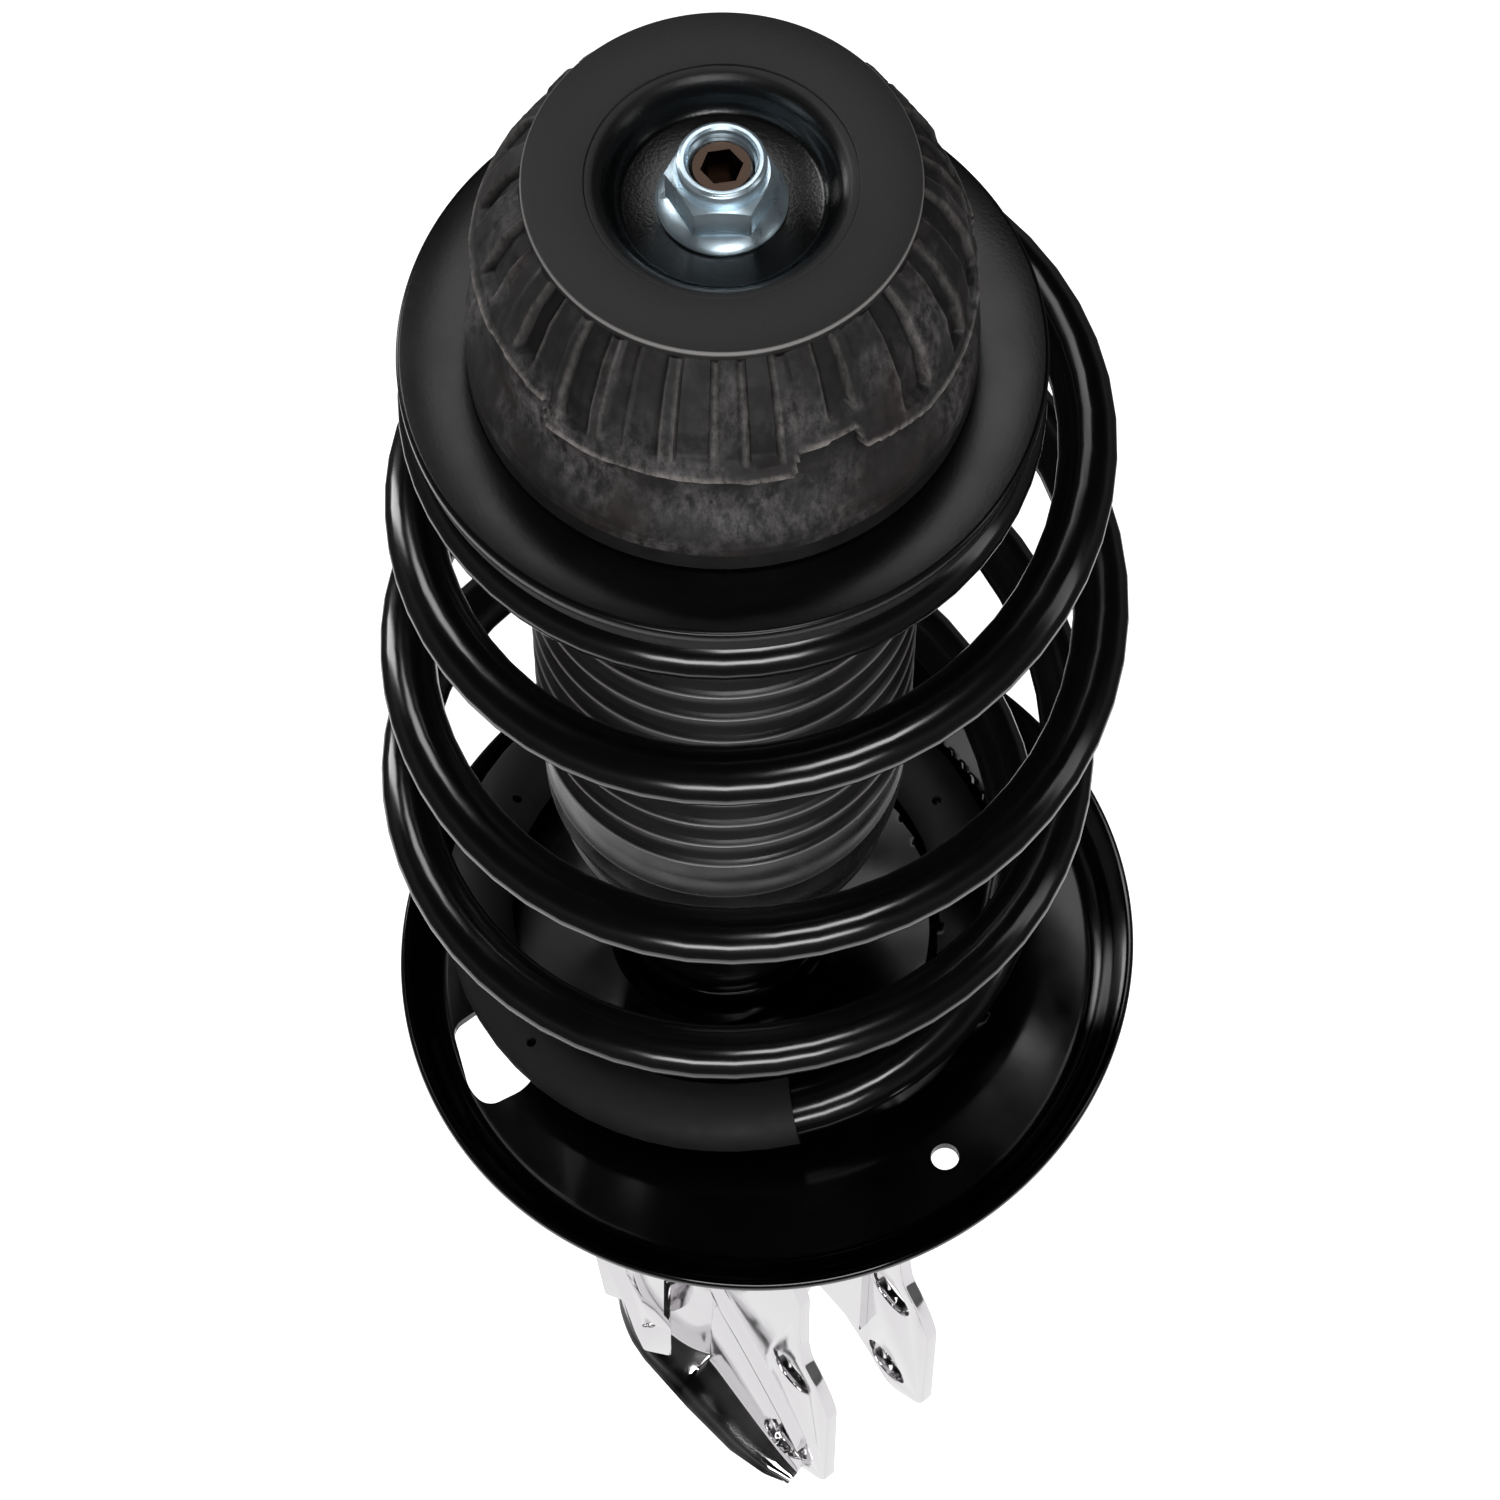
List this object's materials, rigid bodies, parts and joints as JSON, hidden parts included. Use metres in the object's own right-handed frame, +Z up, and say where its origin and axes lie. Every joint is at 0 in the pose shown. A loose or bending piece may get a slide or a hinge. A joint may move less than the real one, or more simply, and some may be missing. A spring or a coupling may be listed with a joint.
{
  "type": "suspension strut assembly",
  "caption": "Suspension strut: twin-tube damper with a coil spring, rubber top mount on a ball bearing, bellows, dished lower seat and a clevis bracket for the knuckle.",
  "frame": {"origin": "where the damper's axis meets the top face of the clamping plate", "axes": "+Z up along the damper's axis; +X from that axis to the two knuckle bolts; +Y along the bolts"},
  "size_m": [0.2022, 0.1956, 0.6481],
  "materials": {
    "zinc_nut": "bright zinc plating with a pale blue passivate",
    "black_plate": "satin black electrocoat on pressed steel",
    "mount_rubber": "dusty moulded natural rubber",
    "bare_steel": "plain machined steel",
    "seal_rubber": "moulded nitrile rubber",
    "bearing_steel": "ground bearing steel",
    "cage_plastic": "natural polyamide",
    "bumper_foam": "microcellular polyurethane",
    "boot_rubber": "semi-gloss moulded rubber",
    "rod_steel": "hard chrome, with a phosphated stud",
    "stop_plastic": "filled polyamide",
    "sintered_iron": "sintered and steam treated",
    "band_plastic": "bronze-filled low-friction plastic",
    "black_enamel": "gloss black electrocoat",
    "bush_bronze": "lined steel-backed bronze",
    "bright_steel": "bright polished and plated pressing",
    "spring_paint": "gloss black powder coat",
    "sleeve_rubber": "extruded matt rubber hose"
  },
  "bodies": {
    "strut_body": {"strut_tube": "black_enamel", "tube_cap": "black_enamel", "rod_seal": "seal_rubber", "rod_guide": "sintered_iron", "rod_guide_bush": "bush_bronze", "pressure_tube": "bare_steel", "base_valve": "sintered_iron", "end_cap": "bare_steel", "lower_spring_seat": "black_enamel", "knuckle_bracket": "bright_steel", "bracket_inner_plate": "bright_steel", "hose_bracket": "bright_steel", "coil_spring": "spring_paint", "spring_sleeve": "sleeve_rubber"},
    "spring_top": {"upper_spring_seat": "black_plate", "upper_isolator": "seal_rubber", "bearing_lower_race": "bearing_steel", "dust_boot": "boot_rubber"},
    "top_mount": {"top_nut": "zinc_nut", "top_plate": "black_plate", "mount_rubber": "mount_rubber", "mount_core": "bare_steel", "mount_base_ring": "black_plate", "bearing_dust_seal": "seal_rubber", "bearing_upper_race": "bearing_steel", "bump_stop": "bumper_foam", "piston_rod": "rod_steel", "rebound_stop": "stop_plastic", "compression_shims": "bearing_steel", "piston": "sintered_iron", "piston_band": "band_plastic", "rebound_shims": "bearing_steel", "piston_nut": "bare_steel"},
    "ball_cage": {"bearing_cage": "cage_plastic", "bearing_balls": "bearing_steel"}
  },
  "joints": [
    {"name": "damper_stroke", "type": "slide", "parent": "strut_body", "child": "spring_top", "axis": [0, 0, -1], "range_m": [0, 0.14], "stiffness_N_per_m": 24000, "springref_m": -0.09, "deforming": ["coil_spring", "dust_boot"]},
    {"name": "steering_swivel", "type": "hinge", "parent": "spring_top", "child": "top_mount", "pos_m": [0, 0, -0.066], "axis": [0, 0, 1], "range_deg": [-40, 40]},
    {"name": "ball_cage_turn", "type": "hinge", "parent": "spring_top", "child": "ball_cage", "pos_m": [0, 0, -0.066], "axis": [0, 0, 1], "range_deg": [-20, 20]}
  ],
  "couplings": [
    {"joint": "ball_cage_turn", "follows": "steering_swivel", "ratio": 0.5}
  ]
}
